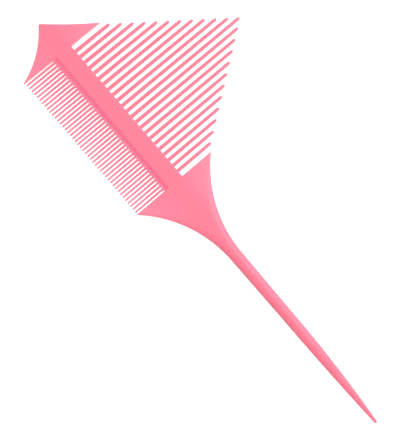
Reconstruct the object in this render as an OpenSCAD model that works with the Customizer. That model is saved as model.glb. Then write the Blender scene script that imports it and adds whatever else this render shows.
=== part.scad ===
// Double-sided salon comb: a fan of wide teeth, a row of fine teeth and a tapering tail.
// It lies flat: X runs from the nose to the tail tip, Y towards the wide teeth, Z up.
// The origin is under the middle of the comb, on the surface it lies on.

/* [Overall] */
// Length from the nose point to the tail tip
total_length = 270; // [250:0.5:290]
// Length from the nose point to the first gap of either row
nose_length = 19.2; // [16:0.1:24]
// Length of both tooth rows, between the guards
row_length = 87.9; // [87:0.1:92]
// Where the curved neck ends and the straight tail begins
neck_end = 157; // [145:1:170]
// Height of the guards above and below the tail axis
guard_height = 25.5; // [22:0.1:28]
// Height of the nose's guard beside the wide teeth, no more than that of the others
nose_guard_height = 25; // [20:0.1:25.5]

/* [Spine] */
// Thickness of the spine, the thickest part of the comb
spine_thickness = 4.6; // [4:0.1:6]
// Height of the wide teeth's root line above the tail axis
spine_top = 5.4; // [4:0.05:7]
// Depth of the spine's lower edge below the tail axis, where the chamfer starts
spine_bottom = 3.5; // [3:0.05:3.9]
// Thickness of the guards at their tips
guard_tip_thickness = 3.4; // [2.8:0.1:3.9]

/* [Wide teeth] */
// Number of wide teeth, odd so that one stands at the peak
wide_count = 23; // [17:2:23]
// Distance from one wide tooth to the next
wide_pitch = 3.675; // [3:0.025:3.7]
// Width of a wide tooth at its root
wide_root_width = 1.86; // [1.76:0.02:2.2]
// Width of a wide tooth at its tip
wide_tip_width = 1.74; // [1.2:0.02:1.76]
// Thickness of a wide tooth at its tip
wide_tip_thickness = 2.4; // [1.8:0.1:3]
// Height of the outermost wide tooth's tip above the tail axis
wide_first_tip = 28.6; // [26:0.1:34]
// How much further each wide tooth reaches than the one before it, from the nose to the peak
wide_front_step = 5; // [3:0.05:5.5]
// How much further each wide tooth reaches than the one after it, from the neck to the peak
wide_rear_step = 5.08; // [3:0.02:5.5]

/* [Fine teeth] */
// Number of fine teeth
fine_count = 44; // [30:1:44]
// Distance from one fine tooth to the next
fine_pitch = 1.98; // [1.8:0.01:1.98]
// Width of a fine tooth at its root
fine_root_width = 1.28; // [1:0.02:1.4]
// Width of a fine tooth at its tip
fine_tip_width = 0.86; // [0.6:0.02:0.98]
// Thickness of a fine tooth at its root
fine_root_thickness = 2.2; // [1.8:0.1:3]
// Thickness of a fine tooth at its tip
fine_tip_thickness = 1.3; // [1:0.1:1.7]
// Depth of the fine teeth's root line below the tail axis
fine_root = 6.4; // [6.15:0.05:8]
// Depth of the fine teeth's tips below the tail axis
fine_tip = 25.2; // [20:0.1:30]
// Width of the chamfer that thins the spine down to the fine teeth
chamfer_width = 2.2; // [1.2:0.1:2.6]

/* [Tail] */
// Width of the tail where it leaves the neck
tail_root_width = 7.05; // [6.4:0.05:8]
// Width of the tail where its straight part ends
tail_mid_width = 6.35; // [5:0.05:7]
// Length of the tail's curved, pointed part
tail_point_length = 70; // [50:0.5:80]
// How far the pointed part curves towards the fine teeth by its tip, 0 for a straight tail
tail_bend = 1.1; // [0:0.1:2]
// Radius of the rounded tail tip
tail_tip_radius = 0.8; // [0.5:0.05:1.2]

/* [Colour] */
// Colour of the moulded plastic
plastic = "#FF89A1"; // ["#FF89A1":Pink, "#4A90C2":Blue, "#2E2E30":Black]

/* [Hidden] */
$fn = 48;
// Circles with a large radius need more sides
long_arc_sides = 720;
row_end = nose_length + row_length;
row_centre = nose_length + row_length / 2;
wide_peak = (wide_count - 1) / 2;
// Heights of the wide teeth's tips above the tail axis; the peak tooth ends the front slope
wide_tips = [for (i = [0 : wide_count - 1])
    wide_first_tip + (i <= wide_peak ? wide_front_step * i : wide_rear_step * (wide_count - 1 - i))];
fan_height = max(wide_tips);
lower_reach = max(guard_height, fine_tip);
// How far a tooth's side profile runs past its plan, so that the two rounded ends never touch
tip_allowance = 0.15;
// Radii of the concave curves under the nose and along its upper edge
nose_lower_radius = 50;
nose_upper_radius = 220;
// How far below the guard's blunt tip the nose's lower curve would reach the tooth row
nose_lower_overrun = 1.7;
// Radius of the neck's curves, which meet the tail without a corner
flare_run = neck_end - row_end;
flare_rise = guard_height - tail_root_width / 2;
flare_radius = (flare_run ^ 2 + flare_rise ^ 2) / (2 * flare_rise);
tail_flatness = spine_thickness / tail_root_width;
// Rings and sides of the tail's oval surface
tail_rings = 12;
tail_sides = 24;
tip_steps = 3;
// The round tip ends in a small flat, at this angle round it
tip_cap_angle = 75;
// Larger than any width, for cutting
ample = 400;

function padded(i) = i < 10 ? str("0", i) : str(i);
wide_names = [for (i = [1 : wide_count]) str("wide_tooth_", padded(i))];

// Moves a shape from the nose point's axes to the comb's own origin
module placed() {
    translate([-total_length / 2, (lower_reach - fan_height) / 2, spine_thickness / 2])
        children();
}

// A solid with the plan of its first child and the side profile, in Y and Z, of its second
module plate(side_length, from_x) {
    intersection() {
        translate([0, 0, -ample / 2])
            linear_extrude(ample)
                children(0);
        translate([from_x, 0, 0])
            rotate([90, 0, 90])
                linear_extrude(side_length)
                    children(1);
    }
}

// Side profile of the spine and guards: full thickness along the spine, thinner to the guard tips
module guard_profile() {
    half_root = spine_thickness / 2;
    half_tip = guard_tip_thickness / 2;
    polygon([
        [guard_height, half_tip], [spine_top, half_root],
        [-spine_bottom, half_root], [-guard_height, half_tip],
        [-guard_height, -half_tip], [-spine_bottom, -half_root],
        [spine_top, -half_root], [guard_height, -half_tip]
    ]);
}

// A circle that passes through points a and b, with its centre to the right of the way from a to b
module circle_through(a, b, radius) {
    half = norm(b - a) / 2;
    along = (b - a) / (2 * half);
    right = [along.y, -along.x];
    centre = (a + b) / 2 + right * sqrt(radius ^ 2 - half ^ 2);
    translate(centre)
        circle(radius, $fn = long_arc_sides);
}

module nose_plan() {
    point = [0, 0];
    top = [nose_length, nose_guard_height];
    bottom = [nose_length, -guard_height - nose_lower_overrun];
    difference() {
        polygon([point, top, bottom]);
        circle_through(point, bottom, nose_lower_radius);
        circle_through(top, point, nose_upper_radius);
    }
}

module neck_plan() {
    half = tail_root_width / 2;
    difference() {
        polygon([
            [row_end, guard_height], [neck_end, half],
            [neck_end, -half], [row_end, -guard_height]
        ]);
        for (side = [-1, 1])
            translate([neck_end, side * (half + flare_radius)])
                circle(flare_radius, $fn = long_arc_sides);
    }
}

// Outline of one tooth along +Y from its root at y = 0, with a round tip
module tooth_outline(root_width, tip_width, length) {
    tip_radius = tip_width / 2;
    union() {
        polygon([
            [-root_width / 2, 0], [root_width / 2, 0],
            [tip_radius, length - tip_radius], [-tip_radius, length - tip_radius]
        ]);
        translate([0, length - tip_radius])
            circle(tip_radius);
    }
}

// One tooth that tapers in width and in thickness, with both profiles rounded at the tip
module tooth(root_width, tip_width, root_thickness, tip_thickness, length) {
    plate(root_width, -root_width / 2) {
        tooth_outline(root_width, tip_width, length);
        rotate(-90)
            tooth_outline(root_thickness, tip_thickness, length + tip_allowance);
    }
}

// The pointed front end, with the guard beside each tooth row
module nose_block() {
    color(plastic)
        placed()
            plate(nose_length, 0) {
                nose_plan();
                guard_profile();
            }
}

// The straight bar that both tooth rows grow from
module spine() {
    color(plastic)
        placed()
            translate([nose_length, -spine_bottom, -spine_thickness / 2])
                cube([row_length, spine_bottom + spine_top, spine_thickness]);
}

// The chamfered strip that thins the spine down to the fine teeth
module fine_tooth_ledge() {
    half_spine = spine_thickness / 2;
    half_land = fine_root_thickness / 2;
    color(plastic)
        placed()
            translate([nose_length, 0, 0])
                rotate([90, 0, 90])
                    linear_extrude(row_length)
                        polygon([
                            [-spine_bottom, half_spine], [-spine_bottom, -half_spine],
                            [-spine_bottom - chamfer_width, -half_land], [-fine_root, -half_land],
                            [-fine_root, half_land], [-spine_bottom - chamfer_width, half_land]
                        ]);
}

// The rear guards and the curved neck that narrows to the tail
module neck() {
    color(plastic)
        placed()
            plate(flare_run, row_end) {
                neck_plan();
                guard_profile();
            }
}

// The tail's rings as [distance along the tail, half-width, height of the middle]: a straight taper,
// then an arc to a round tip, which the middle follows in a slight curve
function tail_stations() =
    let (
        length = total_length - neck_end,
        straight = length - tail_point_length,
        arc_end = length - tail_tip_radius,
        drop = (tail_mid_width / 2 - tail_tip_radius) / (arc_end - straight) ^ 2,
        bend = tail_bend / tail_point_length ^ 2
    )
    concat(
        [[0, tail_root_width / 2, 0]],
        [for (i = [0 : tail_rings])
            let (x = straight + (arc_end - straight) * i / tail_rings)
            [x, tail_mid_width / 2 - drop * (x - straight) ^ 2, -bend * (x - straight) ^ 2]],
        [for (i = [1 : tip_steps])
            let (
                angle = tip_cap_angle * i / tip_steps,
                x = arc_end + tail_tip_radius * sin(angle) / sin(tip_cap_angle)
            )
            [x, tail_tip_radius * cos(angle), -bend * (x - straight) ^ 2]]
    );

// An oval ring of points across the tail
function oval_ring(station) =
    [for (k = [0 : tail_sides - 1])
        let (angle = 360 * k / tail_sides)
        [station[0], station[2] + station[1] * cos(angle), station[1] * tail_flatness * sin(angle)]];

// The long tail for parting hair, oval across and pointed at its end
module tail() {
    stations = tail_stations();
    last = len(stations) - 1;
    points = [for (station = stations) each oval_ring(station)];
    sides = [for (i = [0 : last - 1], k = [0 : tail_sides - 1])
        let (next = (k + 1) % tail_sides)
        [i * tail_sides + k, (i + 1) * tail_sides + k, (i + 1) * tail_sides + next, i * tail_sides + next]];
    root_cap = [for (k = [0 : tail_sides - 1]) k];
    tip_cap = [for (k = [tail_sides - 1 : -1 : 0]) last * tail_sides + k];
    color(plastic)
        placed()
            translate([neck_end, 0, 0])
                polyhedron(points, concat(sides, [root_cap, tip_cap]));
}

// One wide tooth, number 1 nearest the nose
module wide_tooth(number) {
    tip = wide_tips[number - 1];
    x = row_centre + (number - 1 - wide_peak) * wide_pitch;
    color(plastic)
        placed()
            translate([x, spine_top, 0])
                tooth(wide_root_width, wide_tip_width, spine_thickness, wide_tip_thickness, tip - spine_top);
}

// All the fine teeth, each a solid of its own
module fine_teeth() {
    color(plastic)
        placed()
            for (i = [0 : fine_count - 1])
                translate([row_centre + (i - (fine_count - 1) / 2) * fine_pitch, -fine_root, 0])
                    rotate(180)
                        tooth(fine_root_width, fine_tip_width, fine_root_thickness, fine_tip_thickness,
                              fine_tip - fine_root);
}

nose_block();
spine();
fine_tooth_ledge();
neck();
tail();
fine_teeth();
for (i = [1 : wide_count])
    wide_tooth(i);
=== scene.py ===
"""The looks of a double-sided salon comb: one pink moulding, drawn region by region round its CAD frame."""
import math

import bmesh
import bpy
from mathutils import Euler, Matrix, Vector


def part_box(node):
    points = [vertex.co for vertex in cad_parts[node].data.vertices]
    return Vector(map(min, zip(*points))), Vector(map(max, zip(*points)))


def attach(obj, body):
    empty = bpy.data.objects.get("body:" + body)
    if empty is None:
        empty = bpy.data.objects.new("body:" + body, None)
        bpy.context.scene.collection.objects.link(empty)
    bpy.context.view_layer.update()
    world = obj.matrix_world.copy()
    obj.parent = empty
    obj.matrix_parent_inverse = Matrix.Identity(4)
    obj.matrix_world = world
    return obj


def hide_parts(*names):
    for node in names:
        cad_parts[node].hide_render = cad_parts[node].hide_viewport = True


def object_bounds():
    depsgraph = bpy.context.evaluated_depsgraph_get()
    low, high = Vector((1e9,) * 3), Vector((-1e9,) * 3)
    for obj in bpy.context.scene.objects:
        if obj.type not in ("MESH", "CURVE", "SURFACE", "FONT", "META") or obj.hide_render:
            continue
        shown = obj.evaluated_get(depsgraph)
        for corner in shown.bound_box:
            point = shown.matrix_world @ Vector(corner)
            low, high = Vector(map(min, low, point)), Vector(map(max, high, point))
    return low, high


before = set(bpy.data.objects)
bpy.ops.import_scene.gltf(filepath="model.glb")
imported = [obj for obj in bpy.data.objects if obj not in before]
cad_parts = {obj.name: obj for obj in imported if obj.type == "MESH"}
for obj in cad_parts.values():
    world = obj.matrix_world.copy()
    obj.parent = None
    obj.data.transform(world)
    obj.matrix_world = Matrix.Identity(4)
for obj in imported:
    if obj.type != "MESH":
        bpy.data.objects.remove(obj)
cad_low, cad_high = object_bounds()

MM = 0.001
BODY = "root"
QUARTER_TURN = math.radians(90)

# ---------------------------------------------------------------- places, all from the frame
spine_low, spine_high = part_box("spine")
nose_low, nose_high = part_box("nose_block")
neck_low, neck_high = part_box("neck")
tail_low, tail_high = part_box("tail")
ledge_low, ledge_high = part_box("fine_tooth_ledge")
fine_low, fine_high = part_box("fine_teeth")

axis_y = (tail_low.y + tail_high.y) / 2
mid_z = (spine_low.z + spine_high.z) / 2
half_spine = (spine_high.z - spine_low.z) / 2
half_tail = (tail_high.y - tail_low.y) / 2
guard_rise = neck_high.y - axis_y

# ---------------------------------------------------------------- design values of the moulding
EDGE_ROUND = 0.5 * MM               # moulded radius of the outside edges
RIM_ROUND = 0.3 * MM                # smaller radius inside the tooth rows
FADE = 1.6 * MM                     # length over which a rounded edge starts from a sharp corner
GUARD_TIP_THIN = 3.4 / 4.6          # guard thickness at its tip, as a part of the spine's
GUARD_POINT_ROUND = 0.3 * MM        # length of the rounding at the guards' tips
NOSE_LOWER_RADIUS = 50 * MM
NOSE_UPPER_RADIUS = 220 * MM
NOSE_LOWER_OVERRUN = 1.7 * MM       # how far below the blunt guard the lower curve would reach the row
NOSE_POINT_ROUND = 1.0 * MM
CHAMFER_WIDTH = 2.2 * MM
CHAMFER_SHOULDER = 0.14             # part of the chamfer's width that each of its soft ends takes
LAND_ROUND = 0.12 * MM              # edge between the fine teeth
OVAL_LEAD = 4 * MM                  # how far before the neck its change to an oval is reckoned from
OVAL = 0.94                         # how much of a half-width the oval corners take up on the tail
TAIL_MID_HALF = 6.35 / 2 * MM
TAIL_POINT_LENGTH = 70 * MM
TAIL_BEND = 1.1 * MM                # how far the tip curves towards the fine teeth
TAIL_TIP_RADIUS = 0.8 * MM
WIDE_ROOT_WIDTH = 1.86 * MM
WIDE_TIP_WIDTH = 1.74 * MM
WIDE_TIP_THICK = 2.4 * MM
WIDE_FILLET = 0.45 * MM
FINE_COUNT = 44
FINE_PITCH = 1.98 * MM
FINE_ROOT_WIDTH = 1.28 * MM
FINE_TIP_WIDTH = 0.86 * MM
FINE_ROOT_THICK = 2.2 * MM          # also the thickness of the land that the fine teeth stand on
FINE_ROOT_INSET = 0.1 * MM          # how much thinner than the land the fine teeth are drawn
FINE_TIP_THICK = 1.3 * MM
FINE_FILLET = 0.15 * MM
DOME_HEIGHT = 0.9                   # height of a tooth's dome, as a part of the width of its tip
DOME_THIN = 0.35                    # part of the thickness that is left at the top of the dome
TOOTH_ROUND = (0.7, 0.8)            # parts of a tooth's half-width that its (wide, thick) radii take
SINK = 0.4 * MM                     # how far a tooth's root runs into the bar, so that no gap shows

# ---------------------------------------------------------------- how the meshes are cut
CORNER_STEPS = 8                    # faces round the rounded edge of the nose, neck and tail
SPINE_CORNER_STEPS = 5
TOOTH_CORNER_STEPS = 4
FLAT_POINTS = [0.25, 0.5, 0.75]     # where the flats of the nose and spine get points of their own
TOOTH_FLAT_POINTS = [0.5]
FILLET_POINTS = [0, 0.15, 0.4, 0.7, 1]
CORNER_ROOM = (0.45, 0.9)           # the most of a narrow section's width that its radii may take
MERGE = 0.002 * MM                  # points closer than this are one point
SHARP_ANGLE = math.radians(40)      # edges that turn more than this are shaded as creases
# Each rounded end stops short of a quarter turn, so that its last ring can be closed with a face.
GUARD_TIP_TURN = math.radians(85)
TAIL_TIP_TURN = math.radians(84)
DOME_TURN = math.radians(88)

# ---------------------------------------------------------------- the plastic's colours
PINKS = [(0.95, 0.163, 0.242, 1), (0.98, 0.173, 0.256, 1)]
# painted shade: the ledge's own tints, set so that the chamfer's band shows the wanted depth of shade; the
# plastic there is the same as the rest
SHADE_BAND_PINKS = [(1.0, 0.175, 0.292, 1), (1.0, 0.183, 0.304, 1)]
# painted light: the paler pink that the plastic is painted towards the guards' tips
PAINTED_LIGHT_PINK = (0.98, 0.212, 0.302, 1)
PAINTED_LIGHT_FROM = 2 * MM                  # distances from the tail's axis between which painted light pales the plastic
PAINTED_LIGHT_TO = 22 * MM


# ---------------------------------------------------------------- mesh helpers
def smoothstep(low, high, value):
    """Eases from 0 at low to 1 at high."""
    t = min(max((value - low) / (high - low), 0), 1)
    return t * t * (3 - 2 * t)


def mix(a, b, t):
    """Goes straight from a at t = 0 to b at t = 1."""
    return a + (b - a) * t


def rounded_ring(low, high, half_thick, low_round, high_round, across, corner_steps):
    """Points (wide, thick) anticlockwise round a bar from low to high, with oval corners.

    low_round and high_round are the (wide, thick) radii of the corners at each end; across holds
    fractions, from high to low, where the wide flats get points of their own.
    """
    corners = [
        (high, high_round, 1, 1),
        (low, low_round, -1, 1),
        (low, low_round, -1, -1),
        (high, high_round, 1, -1),
    ]
    flat_high = high - high_round[0]
    flat_low = low + low_round[0]
    ring = []
    for quarter, (end, radii, wide_sign, thick_sign) in enumerate(corners):
        for step in range(corner_steps + 1):
            angle = QUARTER_TURN * (quarter + step / corner_steps)
            ring.append((
                end - wide_sign * radii[0] + radii[0] * math.cos(angle),
                thick_sign * (half_thick - radii[1]) + radii[1] * math.sin(angle),
            ))
        if quarter == 0:
            ring += [(mix(flat_high, flat_low, t), half_thick) for t in across]
        if quarter == 2:
            ring += [(mix(flat_high, flat_low, t), -half_thick) for t in reversed(across)]
    return ring


def loft(bm, rings):
    """Skins rings of points that have the same count, and closes both ends."""
    rows = [[bm.verts.new(point) for point in ring] for ring in rings]
    count = len(rows[0])
    for row, after in zip(rows, rows[1:]):
        for k in range(count):
            following = (k + 1) % count
            bm.faces.new((row[k], row[following], after[following], after[k]))
    bm.faces.new(list(reversed(rows[0])))
    bm.faces.new(rows[-1])


def make_piece(name, bm, nodes, material):
    """Turns a bmesh into a smooth-shaded piece that stands for CAD nodes."""
    bmesh.ops.remove_doubles(bm, verts=bm.verts, dist=MERGE)
    bmesh.ops.recalc_face_normals(bm, faces=bm.faces)
    mesh = bpy.data.meshes.new(name)
    bm.to_mesh(mesh)
    bm.free()
    mesh.shade_smooth()
    mesh.set_sharp_from_angle(angle=SHARP_ANGLE)
    mesh.materials.append(material)
    piece = bpy.data.objects.new(name, mesh)
    bpy.context.scene.collection.objects.link(piece)
    weighted = piece.modifiers.new("flat faces stay flat", "WEIGHTED_NORMAL")
    weighted.keep_sharp = True
    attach(piece, BODY)
    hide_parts(*nodes)


def arc(start, end, radius, steps):
    """Points from start to end on a circle whose centre is to the right of the way between them."""
    chord = end - start
    right = Vector((chord.y, -chord.x)).normalized()
    centre = (start + end) / 2 + right * math.sqrt(radius ** 2 - (chord.length / 2) ** 2)
    first = start - centre
    sweep = first.angle_signed(end - centre)
    points = []
    for step in range(steps + 1):
        angle = -sweep * step / steps
        turned = Vector((
            first.x * math.cos(angle) - first.y * math.sin(angle),
            first.x * math.sin(angle) + first.y * math.cos(angle),
        ))
        points.append(centre + turned)
    return points


def guard_thinning(y):
    """How much of the spine's thickness is left at a height, where the guards taper to their tips."""
    if y > spine_high.y:
        reach = (y - spine_high.y) / (neck_high.y - spine_high.y)
    elif y < spine_low.y:
        reach = (spine_low.y - y) / (spine_low.y - neck_low.y)
    else:
        reach = 0
    return mix(1, GUARD_TIP_THIN, reach)


# ---------------------------------------------------------------- material
def moulded_plastic(name, tints, painted_light):
    """Glossy plastic, clouded between two tints, with an uneven skin; its last argument sets how much
    painted light pales it away from the tail's axis, towards the guards' tips.
    """
    material = bpy.data.materials.new(name)
    material.use_nodes = True
    nodes = material.node_tree.nodes
    links = material.node_tree.links
    shader = nodes["Principled BSDF"]
    shader.inputs["IOR"].default_value = 1.5
    shader.inputs["Sheen Weight"].default_value = 0.5
    shader.inputs["Sheen Roughness"].default_value = 0.5
    place = nodes.new("ShaderNodeTexCoord").outputs["Object"]

    def noise(scale, detail):
        """Cloudy noise from 0 to 1, with scale in waves to the metre."""
        texture = nodes.new("ShaderNodeTexNoise")
        texture.inputs["Scale"].default_value = scale
        texture.inputs["Detail"].default_value = detail
        links.new(place, texture.inputs["Vector"])
        return texture.outputs["Fac"]

    def bump(height, strength, distance):
        """Fine relief in the shading; shapes come from the meshes."""
        relief = nodes.new("ShaderNodeBump")
        relief.inputs["Strength"].default_value = strength
        relief.inputs["Distance"].default_value = distance
        links.new(height, relief.inputs["Height"])
        return relief

    cloud = noise(scale=35, detail=3)
    tint = nodes.new("ShaderNodeMix")
    tint.data_type = "RGBA"
    tint.inputs["A"].default_value = tints[0]
    tint.inputs["B"].default_value = tints[1]
    links.new(cloud, tint.inputs["Factor"])

    # painted light: the farther from the tail's axis, the more the base colour is mixed towards the pale
    # pink, up to the share given
    apart = nodes.new("ShaderNodeSeparateXYZ")
    sideways = nodes.new("ShaderNodeMath")
    sideways.operation = "SUBTRACT"
    sideways.inputs[1].default_value = axis_y
    distance = nodes.new("ShaderNodeMath")
    distance.operation = "ABSOLUTE"
    painted_light_share = nodes.new("ShaderNodeMapRange")
    painted_light_share.inputs["From Min"].default_value = PAINTED_LIGHT_FROM
    painted_light_share.inputs["From Max"].default_value = PAINTED_LIGHT_TO
    painted_light_share.inputs["To Max"].default_value = painted_light
    painted_light_mix = nodes.new("ShaderNodeMix")
    painted_light_mix.data_type = "RGBA"
    painted_light_mix.inputs["B"].default_value = PAINTED_LIGHT_PINK
    links.new(place, apart.inputs["Vector"])
    links.new(apart.outputs["Y"], sideways.inputs[0])
    links.new(sideways.outputs["Value"], distance.inputs[0])
    links.new(distance.outputs["Value"], painted_light_share.inputs["Value"])
    links.new(painted_light_share.outputs["Result"], painted_light_mix.inputs["Factor"])
    links.new(tint.outputs["Result"], painted_light_mix.inputs["A"])
    links.new(painted_light_mix.outputs["Result"], shader.inputs["Base Color"])

    skin = noise(scale=900, detail=4)
    gloss = nodes.new("ShaderNodeMapRange")
    gloss.inputs["To Min"].default_value = 0.30
    gloss.inputs["To Max"].default_value = 0.42
    links.new(skin, gloss.inputs["Value"])
    links.new(gloss.outputs["Result"], shader.inputs["Roughness"])

    ripple = noise(scale=120, detail=2)
    waves = bump(ripple, strength=0.12, distance=0.2 * MM)
    grain = bump(skin, strength=0.15, distance=0.03 * MM)
    links.new(waves.outputs["Normal"], grain.inputs["Normal"])
    links.new(grain.outputs["Normal"], shader.inputs["Normal"])
    return material


# the main plastic is painted lighter towards the guards' tips (painted light); the teeth's plastic is not
plastic = moulded_plastic("pink_plastic", PINKS, 1)
tooth_plastic = moulded_plastic("pink_tooth_plastic", PINKS, 0)
# the ledge's copy of the plastic is tinted as painted shade for the chamfer's band
ledge_shade_plastic = moulded_plastic("pink_plastic_painted_shade_band", SHADE_BAND_PINKS, 0)


# ---------------------------------------------------------------- nose block
def fade(distance):
    """Grows from 0 at a sharp inner corner to 1 where the edge is fully rounded."""
    return smoothstep(0, FADE, distance)


def nose_outline():
    """Points of the concave outer edge, from the lower guard's tip round the nose to the upper one's."""
    arc_steps = 24
    point = Vector((nose_low.x, axis_y))
    upper = arc(Vector((nose_high.x, nose_high.y)), point, NOSE_UPPER_RADIUS, arc_steps)
    lower_end = Vector((nose_high.x, nose_low.y - NOSE_LOWER_OVERRUN))
    lower = arc(point, lower_end, NOSE_LOWER_RADIUS, arc_steps)
    up = (upper[-2] - point).normalized()
    down = (lower[1] - point).normalized()
    half_angle = up.angle(down) / 2
    centre = point + (up + down).normalized() * NOSE_POINT_ROUND / math.sin(half_angle)
    turn = QUARTER_TURN - half_angle
    middle = math.atan2(point.y - centre.y, point.x - centre.x)
    steps = 8
    rounding = []
    for i in range(steps + 1):
        angle = middle + turn * (2 * i / steps - 1)
        rounding.append(centre + NOSE_POINT_ROUND * Vector((math.cos(angle), math.sin(angle))))
    rounding.sort(key=lambda p: p.y)
    return list(reversed(lower[1:])) + rounding + list(reversed(upper[:-1]))


def outline_at(outline, y):
    """The outline's X at a height, and how much its slant stretches a rounded rim in X."""
    for below, above in zip(outline, outline[1:]):
        if below.y <= y <= above.y:
            along = (above - below).normalized()
            return mix(below.x, above.x, (y - below.y) / (above.y - below.y)), 1 / along.y
    raise ValueError("height outside the outline")


def within_room(wide_round, thick_round, width):
    """A corner's (wide, thick) radii, made smaller where a section is too narrow for them."""
    return (min(wide_round, CORNER_ROOM[0] * width), min(thick_round, CORNER_ROOM[1] * width))


def build_nose():
    """The pointed end: a plate with rounded rims, two concave edges and a guard beside each row."""
    outline = nose_outline()
    lowest = nose_low.y + GUARD_POINT_ROUND
    highest = nose_high.y - GUARD_POINT_ROUND
    fade_step = FADE / 3
    heights = [p.y for p in outline]
    heights += [spine_low.y, spine_high.y, spine_low.y - fade_step, spine_high.y + fade_step]
    heights = [lowest] + sorted(y for y in heights if lowest < y < highest) + [highest]
    rings = []
    for y in heights:
        left, stretch = outline_at(outline, y)
        width = nose_high.x - left
        rim = RIM_ROUND * fade(max(y - spine_high.y, spine_low.y - y))
        outer = within_room(EDGE_ROUND * stretch, EDGE_ROUND, width)
        inner = within_room(rim, rim, width)
        half_thick = half_spine * guard_thinning(y)
        ring = rounded_ring(left, nose_high.x, half_thick, outer, inner, FLAT_POINTS, CORNER_STEPS)
        rings.append([(x, y, mid_z + thick) for x, thick in ring])
    lower_tip = list(reversed(tip_rings(rings[0], nose_low.y)))
    upper_tip = tip_rings(rings[-1], nose_high.y)
    bm = bmesh.new()
    loft(bm, lower_tip + rings + upper_tip)
    make_piece("nose_block_moulding", bm, ["nose_block"], plastic)


def tip_rings(ring, end_y):
    """Rings that round off a guard's tip, from its last full ring to its end at a height."""
    middle = (max(x for x, _, _ in ring) + min(x for x, _, _ in ring)) / 2
    start_y = ring[0][1]
    half_thick = max(z for _, _, z in ring) - mid_z
    rings = []
    steps = 4
    for i in range(1, steps + 1):
        angle = GUARD_TIP_TURN * i / steps
        keep = math.cos(angle)
        inset = GUARD_POINT_ROUND * (1 - keep)
        y = mix(start_y, end_y, math.sin(angle))
        thin = 1 - inset / half_thick
        rings.append([(middle + (x - middle) * keep, y, mid_z + (z - mid_z) * thin) for x, _, z in ring])
    return rings


# ---------------------------------------------------------------- spine and ledge
def build_spine():
    """The bar between the rows: its wide-tooth edge is rounded, away from the two end blocks."""
    even_steps = 12
    fade_steps = 4
    even = [i / even_steps for i in range(1, even_steps)]
    length = spine_high.x - spine_low.x
    near_end = [FADE / length * i / fade_steps for i in range(fade_steps + 1)]
    fractions = sorted(near_end + even + [1 - t for t in near_end])
    rings = []
    for t in fractions:
        rim = EDGE_ROUND * fade(length * min(t, 1 - t))
        ring = rounded_ring(
            spine_low.y, spine_high.y, half_spine, (0, 0), (rim, rim), FLAT_POINTS, SPINE_CORNER_STEPS,
        )
        rings.append([(mix(spine_low.x, spine_high.x, t), y, mid_z + thick) for y, thick in ring])
    bm = bmesh.new()
    loft(bm, rings)
    make_piece("spine_moulding", bm, ["spine"], plastic)


def soft_ramp(t):
    """Rises from 0 to 1 in a straight line whose two ends are softened."""
    slope = 1 / (1 - CHAMFER_SHOULDER)
    if t < CHAMFER_SHOULDER:
        return slope * t * t / (2 * CHAMFER_SHOULDER)
    if t > 1 - CHAMFER_SHOULDER:
        return 1 - slope * (1 - t) ** 2 / (2 * CHAMFER_SHOULDER)
    return slope * (t - CHAMFER_SHOULDER / 2)


def build_ledge():
    """The chamfer that thins the spine down to a narrow land, where the fine teeth start."""
    half_land = FINE_ROOT_THICK / 2
    shoulder = [0, 0.05, 0.1, CHAMFER_SHOULDER]
    fractions = shoulder + [0.5] + [1 - t for t in reversed(shoulder)]
    profile = [
        (spine_low.y - CHAMFER_WIDTH * t, mix(half_spine, half_land, soft_ramp(t))) for t in fractions
    ]
    land_steps = 4
    for i in range(land_steps + 1):
        angle = QUARTER_TURN * i / land_steps
        y = ledge_low.y + LAND_ROUND * (1 - math.sin(angle))
        profile.append((y, half_land - LAND_ROUND * (1 - math.cos(angle))))
    ring_2d = profile + [(y, -thick) for y, thick in reversed(profile)]
    stations = 12
    rings = []
    for i in range(stations + 1):
        x = mix(ledge_low.x, ledge_high.x, i / stations)
        rings.append([(x, y, mid_z + thick) for y, thick in ring_2d])
    bm = bmesh.new()
    loft(bm, rings)
    # the chamfer wears the painted-shade tints
    make_piece("fine_tooth_ledge_moulding", bm, ["fine_tooth_ledge"], ledge_shade_plastic)


# ---------------------------------------------------------------- neck and tail
flare_run = neck_high.x - neck_low.x
flare_rise = guard_rise - half_tail
flare_radius = (flare_run ** 2 + flare_rise ** 2) / (2 * flare_rise)


def neck_fractions():
    """Where the neck's flats get points: evenly, and at both edges of the spine."""
    even_steps = 16
    least_gap = 0.02
    flat = guard_rise - EDGE_ROUND
    edges = [(flat - (y - axis_y)) / (2 * flat) for y in (spine_high.y, spine_low.y)]
    even = [i / even_steps for i in range(1, even_steps)]
    kept = [t for t in even if all(abs(t - edge) > least_gap for edge in edges)]
    return sorted(kept + edges)


NECK_FLAT_POINTS = neck_fractions()


def rim_share(y):
    """How much of the neck's inner rim is rounded at a height: none of it where the spine joins."""
    return fade(max(y - spine_high.y, spine_low.y - y))


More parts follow.
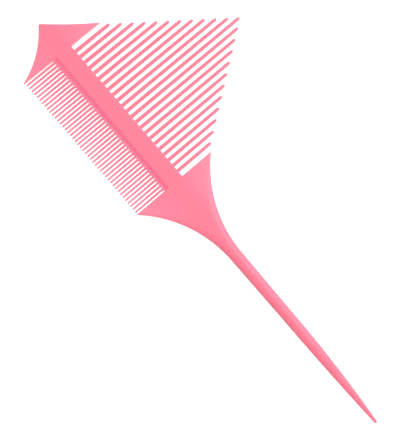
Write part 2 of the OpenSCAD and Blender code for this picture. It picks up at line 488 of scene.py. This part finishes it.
def build_neck():
    """The rear guards and the flare, whose edges grow rounder until the section is the tail's oval."""
    rim_steps = 4
    stations = []
    for i in range(rim_steps):
        angle = QUARTER_TURN * i / rim_steps
        stations.append((neck_low.x + RIM_ROUND * (1 - math.cos(angle)), RIM_ROUND * (1 - math.sin(angle))))
    flare_steps = 48
    crowding = 1.1                   # above 1, the stations lie closer together at the guards
    for i in range(flare_steps + 1):
        stations.append((mix(neck_low.x + RIM_ROUND, neck_high.x, (i / flare_steps) ** crowding), 0))
    rings = []
    for x, inset in stations:
        back = neck_high.x - x
        level = math.sqrt(flare_radius ** 2 - back ** 2)
        half_wide = half_tail + flare_radius - level
        stretch = math.sqrt(1 + (back / level) ** 2)
        oval = smoothstep(neck_low.x - OVAL_LEAD, neck_high.x, x)
        rounding = (
            mix(EDGE_ROUND * stretch, OVAL * half_wide, oval),
            mix(EDGE_ROUND, OVAL * half_spine, oval),
        )
        section = rounded_ring(
            -half_wide, half_wide, half_spine, rounding, rounding, NECK_FLAT_POINTS, CORNER_STEPS,
        )
        ring = []
        for wide, thick in section:
            y = axis_y + wide * (1 - inset / half_wide)
            thinning = guard_thinning(y) * (1 - inset / half_spine * rim_share(y))
            ring.append((x, y, mid_z + thick * thinning))
        rings.append(ring)
    bm = bmesh.new()
    loft(bm, rings)
    make_piece("neck_moulding", bm, ["neck"], plastic)


def build_tail():
    """The oval tail: a straight taper, then one long arc to a round tip."""
    straight_end = tail_high.x - TAIL_POINT_LENGTH
    arc_end = tail_high.x - TAIL_TIP_RADIUS
    drop = (TAIL_MID_HALF - TAIL_TIP_RADIUS) / (arc_end - straight_end) ** 2
    half_way = (mix(tail_low.x, straight_end, 0.5), (half_tail + TAIL_MID_HALF) / 2)
    stations = [(tail_low.x, half_tail), half_way]
    point_steps = 32
    for i in range(point_steps + 1):
        x = mix(straight_end, arc_end, i / point_steps)
        stations.append((x, TAIL_MID_HALF - drop * (x - straight_end) ** 2))
    tip_steps = 6
    for i in range(1, tip_steps + 1):
        angle = TAIL_TIP_TURN * i / tip_steps
        stations.append((arc_end + TAIL_TIP_RADIUS * math.sin(angle), TAIL_TIP_RADIUS * math.cos(angle)))
    bm = bmesh.new()
    rings = []
    for x, half_wide in stations:
        middle = axis_y - TAIL_BEND * (max(x - straight_end, 0) / TAIL_POINT_LENGTH) ** 2
        half_thick = half_wide * half_spine / half_tail
        rounding = (OVAL * half_wide, OVAL * half_thick)
        ring = rounded_ring(
            -half_wide, half_wide, half_thick, rounding, rounding, NECK_FLAT_POINTS, CORNER_STEPS,
        )
        rings.append([(x, middle + wide, mid_z + thick) for wide, thick in ring])
    loft(bm, rings)
    make_piece("tail_moulding", bm, ["tail"], plastic)


# ---------------------------------------------------------------- teeth
def add_tooth(bm, root, direction, length, widths, thicknesses, fillet):
    """A tapering tooth with rounded sides, a fillet at its root and a domed tip.

    root is the middle of its root, direction is 1 or -1 along Y; widths and thicknesses are (root, tip).
    """
    body_steps = 8
    dome_steps = 5
    dome = widths[1] * DOME_HEIGHT
    dome_start = length - dome
    places = [-SINK] + [fillet * t for t in FILLET_POINTS]
    places += [mix(fillet, dome_start, i / body_steps) for i in range(1, body_steps + 1)]
    places += [dome_start + dome * math.sin(DOME_TURN * i / dome_steps) for i in range(1, dome_steps + 1)]
    rings = []
    for place in places:
        reach = max(place, 0) / length
        half_wide = mix(widths[0], widths[1], reach) / 2
        half_thick = mix(thicknesses[0], thicknesses[1], reach) / 2
        into_dome = max(place - dome_start, 0) / dome
        shrink = math.sqrt(1 - into_dome ** 2)
        half_thick *= mix(DOME_THIN, 1, shrink)
        half_wide *= shrink
        into_fillet = max(fillet - max(place, 0), 0) / fillet
        half_wide += fillet * (1 - math.sqrt(1 - into_fillet ** 2))
        rounding = (half_wide * TOOTH_ROUND[0], min(half_thick, half_wide) * TOOTH_ROUND[1])
        ring = rounded_ring(
            -half_wide, half_wide, half_thick, rounding, rounding, TOOTH_FLAT_POINTS, TOOTH_CORNER_STEPS,
        )
        rings.append([(root.x + wide, root.y + direction * place, root.z + thick) for wide, thick in ring])
    loft(bm, rings)


def build_wide_teeth():
    """The peaked fan: a piece for each tooth, as long as its CAD node."""
    names = sorted(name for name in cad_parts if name.startswith("wide_tooth_"))
    root_thick = 2 * half_spine - EDGE_ROUND
    for name in names:
        low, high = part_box(name)
        bm = bmesh.new()
        root = Vector(((low.x + high.x) / 2, spine_high.y, mid_z))
        add_tooth(
            bm, root, 1, high.y - spine_high.y,
            (WIDE_ROOT_WIDTH, WIDE_TIP_WIDTH), (root_thick, WIDE_TIP_THICK), WIDE_FILLET,
        )
        make_piece(name + "_moulding", bm, [name], tooth_plastic)


def build_fine_teeth():
    """The row of alike fine teeth, in one piece as in their one CAD node."""
    bm = bmesh.new()
    centre_x = (fine_low.x + fine_high.x) / 2
    thicknesses = (FINE_ROOT_THICK - FINE_ROOT_INSET, FINE_TIP_THICK)
    for i in range(FINE_COUNT):
        x = centre_x + (i - (FINE_COUNT - 1) / 2) * FINE_PITCH
        add_tooth(
            bm, Vector((x, fine_high.y, mid_z)), -1, fine_high.y - fine_low.y,
            (FINE_ROOT_WIDTH, FINE_TIP_WIDTH), thicknesses, FINE_FILLET,
        )
    make_piece("fine_teeth_moulding", bm, ["fine_teeth"], tooth_plastic)


build_nose()
build_spine()
build_ledge()
build_neck()
build_tail()
build_wide_teeth()
build_fine_teeth()


# ---------------------------------------------------------------- studio
def build_floor():
    """A plain white table that glows faintly, as a lit photographic table does."""
    material = bpy.data.materials.new("white_table")
    material.use_nodes = True
    shader = material.node_tree.nodes["Principled BSDF"]
    shader.inputs["Base Color"].default_value = (0.20, 0.20, 0.20, 1)
    shader.inputs["Roughness"].default_value = 0.9
    shader.inputs["Emission Color"].default_value = (1, 1, 1, 1)
    shader.inputs["Emission Strength"].default_value = 1.05
    half = 2.5
    mesh = bpy.data.meshes.new("studio_floor")
    signs = [(-1, -1), (1, -1), (1, 1), (-1, 1)]
    corners = [(x_sign * half, y_sign * half, cad_low.z) for x_sign, y_sign in signs]
    mesh.from_pydata(corners, [], [(0, 1, 2, 3)])
    mesh.materials.append(material)
    floor = bpy.data.objects.new("studio_floor", mesh)
    bpy.context.scene.collection.objects.link(floor)


def softbox(name, place, size, power, reflected):
    """A square light facing the comb; unless reflected, it acts as if behind a polarising filter."""
    light = bpy.data.lights.new(name, "AREA")
    light.shape = "SQUARE"
    light.size = size
    light.energy = power
    lamp = bpy.data.objects.new(name, light)
    lamp.location = place
    lamp.rotation_euler = (Vector((0, 0, 0)) - Vector(place)).to_track_quat("-Z", "Y").to_euler()
    lamp.visible_glossy = reflected
    bpy.context.scene.collection.objects.link(lamp)


def build_lights():
    """A white room, a large soft key light and a smaller light that the edges reflect."""
    world = bpy.data.worlds.new("white_studio")
    world.use_nodes = True
    background = world.node_tree.nodes["Background"]
    background.inputs["Color"].default_value = (1, 1, 1, 1)
    background.inputs["Strength"].default_value = 0.45
    bpy.context.scene.world = world
    softbox("key_softbox", place=(0.0, 0.55, 1.0), size=0.8, power=11.8, reflected=False)
    softbox("rim_softbox", place=(0.15, 0.60, 0.85), size=0.5, power=2.9, reflected=True)


def build_camera():
    """A long lens almost overhead, rolled so that the comb runs down the frame from corner to corner."""
    data = bpy.data.cameras.new("camera")
    data.sensor_fit = "VERTICAL"
    data.sensor_height = 24
    data.lens = 56.3
    camera = bpy.data.objects.new("camera", data)
    camera.location = (-0.01612, -0.10237, 0.5305)
    turn_degrees = (4.080, -6.613, 49.107)
    camera.rotation_euler = Euler([math.radians(a) for a in turn_degrees], "XYZ")
    bpy.context.scene.collection.objects.link(camera)
    bpy.context.scene.camera = camera


build_floor()
build_lights()
build_camera()
bpy.context.scene.view_settings.view_transform = "Standard"
